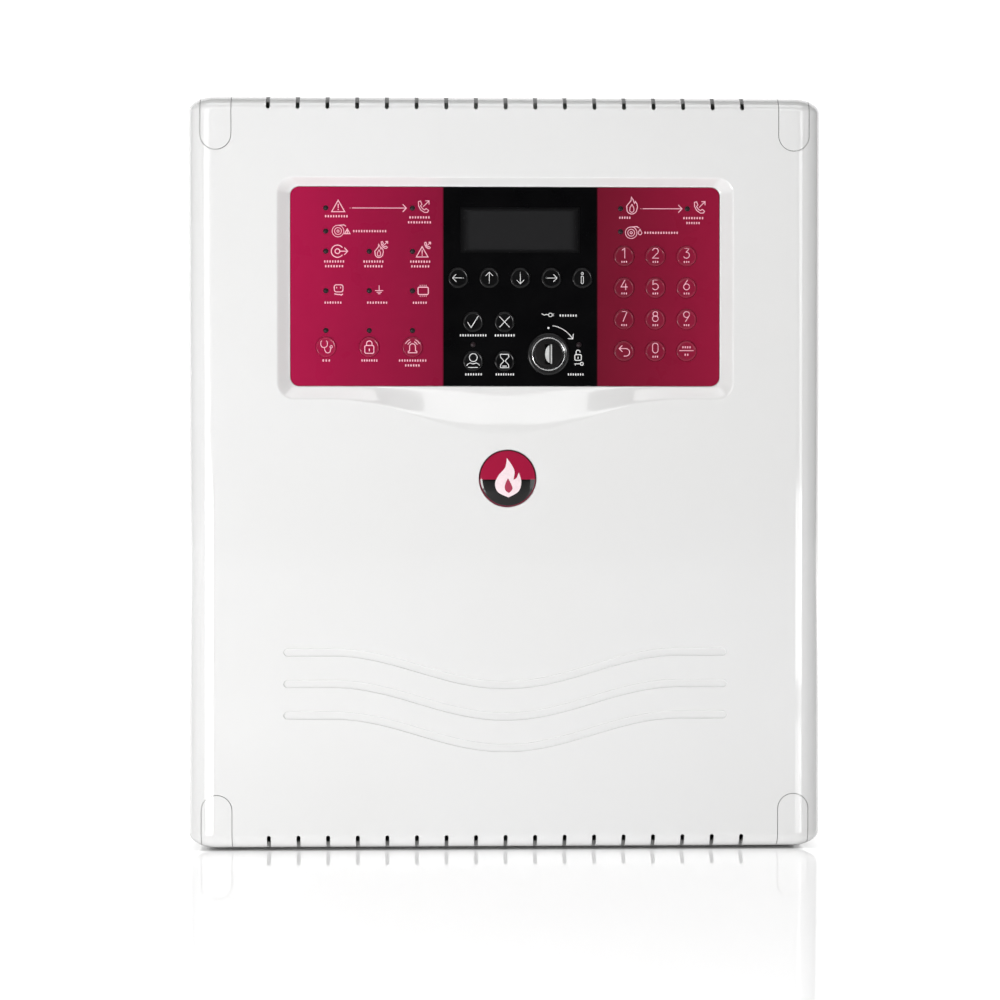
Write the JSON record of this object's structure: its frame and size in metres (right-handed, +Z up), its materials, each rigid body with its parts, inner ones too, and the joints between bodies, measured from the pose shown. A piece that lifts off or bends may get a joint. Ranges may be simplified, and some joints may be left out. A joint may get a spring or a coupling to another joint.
{
  "type": "fire alarm control panel",
  "caption": "Wall-mounted fire alarm control panel: white hinged case with a recessed keypad and display fascia, key lock, corner caps and edge vents.",
  "frame": {"origin": "centre of the rear housing's flat wall face", "axes": "+Y into the wall, +Z up, +X to the right as seen from the front"},
  "size_m": [0.3252, 0.1094, 0.382],
  "materials": {
    "housing_white": "moulded ABS, satin gloss",
    "cover_white": "moulded ABS, high gloss",
    "pin_steel": "plated",
    "screw_steel": "zinc plated",
    "spacer_brass": "turned",
    "circuit_board": "solder mask over glass fibre",
    "terminal_green": "moulded",
    "relay_blue": "moulded",
    "component_black": "moulded",
    "cage_metal": "pressed sheet",
    "plunger_ivory": "moulded",
    "battery_grey": "moulded case",
    "lead_insulation": "flexible insulation",
    "ribbon_grey": "flexible flat cable",
    "fascia_print": "screen-printed film, satin",
    "key_print": "embossed printed film",
    "window_tint": "tinted clear window",
    "lamp_lens": "unlit lens",
    "lock_black": "black with a bright ring",
    "badge_print": "printed under a clear dome"
  },
  "bodies": {
    "housing": {"rear_housing": "housing_white", "hinge_pins": "pin_steel", "main_board": "circuit_board", "board_spacers": "spacer_brass", "board_screws": "screw_steel", "terminal_blocks": "terminal_green", "relays": "relay_blue", "board_components": "component_black", "sounder": "component_black", "power_supply": "cage_metal", "tamper_switch": "component_black", "battery_left": "battery_grey", "battery_right": "battery_grey", "battery_leads": "lead_insulation", "ribbon_cable": "ribbon_grey"},
    "cover": {"front_cover": "cover_white", "fascia_panel": "fascia_print", "display_window": "window_tint", "display_module": "circuit_board", "keypad_board": "circuit_board", "keypad_screws": "screw_steel", "tact_switches": "component_black", "status_lamps": "lamp_lens", "lock_body": "lock_black", "lock_nut": "screw_steel", "badge": "badge_print"},
    "lock_plug": {"lock_plug": "lock_black"},
    "tamper_plunger": {"tamper_plunger": "plunger_ivory"},
    "cap_top_left": {"cap_top_left": "cover_white"},
    "cap_top_right": {"cap_top_right": "cover_white"},
    "cap_bottom_left": {"cap_bottom_left": "cover_white"},
    "cap_bottom_right": {"cap_bottom_right": "cover_white"},
    "screw_top_left": {"screw_top_left": "screw_steel"},
    "screw_top_right": {"screw_top_right": "screw_steel"},
    "screw_bottom_left": {"screw_bottom_left": "screw_steel"},
    "screw_bottom_right": {"screw_bottom_right": "screw_steel"},
    "key_left": {"key_left": "key_print"},
    "key_up": {"key_up": "key_print"},
    "key_down": {"key_down": "key_print"},
    "key_right": {"key_right": "key_print"},
    "key_info": {"key_info": "key_print"},
    "key_confirm": {"key_confirm": "key_print"},
    "key_cancel": {"key_cancel": "key_print"},
    "key_staff": {"key_staff": "key_print"},
    "key_delay": {"key_delay": "key_print"},
    "key_test": {"key_test": "key_print"},
    "key_lockout": {"key_lockout": "key_print"},
    "key_siren": {"key_siren": "key_print"},
    "key_1": {"key_1": "key_print"},
    "key_2": {"key_2": "key_print"},
    "key_3": {"key_3": "key_print"},
    "key_4": {"key_4": "key_print"},
    "key_5": {"key_5": "key_print"},
    "key_6": {"key_6": "key_print"},
    "key_7": {"key_7": "key_print"},
    "key_8": {"key_8": "key_print"},
    "key_9": {"key_9": "key_print"},
    "key_back": {"key_back": "key_print"},
    "key_0": {"key_0": "key_print"},
    "key_menu": {"key_menu": "key_print"}
  },
  "joints": [
    {"name": "cover_hinge", "type": "hinge", "parent": "housing", "child": "cover", "pos_m": [-0.1618, -0.05015, 0], "axis": [0, 0, -1], "range_deg": [0, 110], "deforming": ["ribbon_cable"]},
    {"name": "lock_turn", "type": "hinge", "parent": "cover", "child": "lock_plug", "pos_m": [0.0219, -0.105, 0.0603], "axis": [0, 1, 0], "range_deg": [0, 90]},
    {"name": "tamper_press", "type": "slide", "parent": "housing", "child": "tamper_plunger", "axis": [0, 1, 0], "range_m": [0, 0.0015], "stiffness_N_per_m": 300},
    {"name": "cap_top_left_pull", "type": "slide", "parent": "cover", "child": "cap_top_left", "axis": [0, -1, 0], "range_m": [0, 0.018]},
    {"name": "cap_top_right_pull", "type": "slide", "parent": "cover", "child": "cap_top_right", "axis": [0, -1, 0], "range_m": [0, 0.018]},
    {"name": "cap_bottom_left_pull", "type": "slide", "parent": "cover", "child": "cap_bottom_left", "axis": [0, -1, 0], "range_m": [0, 0.018]},
    {"name": "cap_bottom_right_pull", "type": "slide", "parent": "cover", "child": "cap_bottom_right", "axis": [0, -1, 0], "range_m": [0, 0.018]},
    {"name": "screw_top_left_drive", "type": "slide", "parent": "cover", "child": "screw_top_left", "axis": [0, 1, 0], "range_m": [0, 0.013]},
    {"name": "screw_top_right_drive", "type": "slide", "parent": "cover", "child": "screw_top_right", "axis": [0, 1, 0], "range_m": [0, 0.013]},
    {"name": "screw_bottom_left_drive", "type": "slide", "parent": "cover", "child": "screw_bottom_left", "axis": [0, 1, 0], "range_m": [0, 0.013]},
    {"name": "screw_bottom_right_drive", "type": "slide", "parent": "cover", "child": "screw_bottom_right", "axis": [0, 1, 0], "range_m": [0, 0.013]},
    {"name": "key_left_press", "type": "slide", "parent": "cover", "child": "key_left", "axis": [0, 1, 0], "range_m": [0, 0.0005], "stiffness_N_per_m": 400},
    {"name": "key_up_press", "type": "slide", "parent": "cover", "child": "key_up", "axis": [0, 1, 0], "range_m": [0, 0.0005], "stiffness_N_per_m": 400},
    {"name": "key_down_press", "type": "slide", "parent": "cover", "child": "key_down", "axis": [0, 1, 0], "range_m": [0, 0.0005], "stiffness_N_per_m": 400},
    {"name": "key_right_press", "type": "slide", "parent": "cover", "child": "key_right", "axis": [0, 1, 0], "range_m": [0, 0.0005], "stiffness_N_per_m": 400},
    {"name": "key_info_press", "type": "slide", "parent": "cover", "child": "key_info", "axis": [0, 1, 0], "range_m": [0, 0.0005], "stiffness_N_per_m": 400},
    {"name": "key_confirm_press", "type": "slide", "parent": "cover", "child": "key_confirm", "axis": [0, 1, 0], "range_m": [0, 0.0005], "stiffness_N_per_m": 400},
    {"name": "key_cancel_press", "type": "slide", "parent": "cover", "child": "key_cancel", "axis": [0, 1, 0], "range_m": [0, 0.0005], "stiffness_N_per_m": 400},
    {"name": "key_staff_press", "type": "slide", "parent": "cover", "child": "key_staff", "axis": [0, 1, 0], "range_m": [0, 0.0005], "stiffness_N_per_m": 400},
    {"name": "key_delay_press", "type": "slide", "parent": "cover", "child": "key_delay", "axis": [0, 1, 0], "range_m": [0, 0.0005], "stiffness_N_per_m": 400},
    {"name": "key_test_press", "type": "slide", "parent": "cover", "child": "key_test", "axis": [0, 1, 0], "range_m": [0, 0.0005], "stiffness_N_per_m": 400},
    {"name": "key_lockout_press", "type": "slide", "parent": "cover", "child": "key_lockout", "axis": [0, 1, 0], "range_m": [0, 0.0005], "stiffness_N_per_m": 400},
    {"name": "key_siren_press", "type": "slide", "parent": "cover", "child": "key_siren", "axis": [0, 1, 0], "range_m": [0, 0.0005], "stiffness_N_per_m": 400},
    {"name": "key_1_press", "type": "slide", "parent": "cover", "child": "key_1", "axis": [0, 1, 0], "range_m": [0, 0.0005], "stiffness_N_per_m": 400},
    {"name": "key_2_press", "type": "slide", "parent": "cover", "child": "key_2", "axis": [0, 1, 0], "range_m": [0, 0.0005], "stiffness_N_per_m": 400},
    {"name": "key_3_press", "type": "slide", "parent": "cover", "child": "key_3", "axis": [0, 1, 0], "range_m": [0, 0.0005], "stiffness_N_per_m": 400},
    {"name": "key_4_press", "type": "slide", "parent": "cover", "child": "key_4", "axis": [0, 1, 0], "range_m": [0, 0.0005], "stiffness_N_per_m": 400},
    {"name": "key_5_press", "type": "slide", "parent": "cover", "child": "key_5", "axis": [0, 1, 0], "range_m": [0, 0.0005], "stiffness_N_per_m": 400},
    {"name": "key_6_press", "type": "slide", "parent": "cover", "child": "key_6", "axis": [0, 1, 0], "range_m": [0, 0.0005], "stiffness_N_per_m": 400},
    {"name": "key_7_press", "type": "slide", "parent": "cover", "child": "key_7", "axis": [0, 1, 0], "range_m": [0, 0.0005], "stiffness_N_per_m": 400},
    {"name": "key_8_press", "type": "slide", "parent": "cover", "child": "key_8", "axis": [0, 1, 0], "range_m": [0, 0.0005], "stiffness_N_per_m": 400},
    {"name": "key_9_press", "type": "slide", "parent": "cover", "child": "key_9", "axis": [0, 1, 0], "range_m": [0, 0.0005], "stiffness_N_per_m": 400},
    {"name": "key_back_press", "type": "slide", "parent": "cover", "child": "key_back", "axis": [0, 1, 0], "range_m": [0, 0.0005], "stiffness_N_per_m": 400},
    {"name": "key_0_press", "type": "slide", "parent": "cover", "child": "key_0", "axis": [0, 1, 0], "range_m": [0, 0.0005], "stiffness_N_per_m": 400},
    {"name": "key_menu_press", "type": "slide", "parent": "cover", "child": "key_menu", "axis": [0, 1, 0], "range_m": [0, 0.0005], "stiffness_N_per_m": 400}
  ]
}
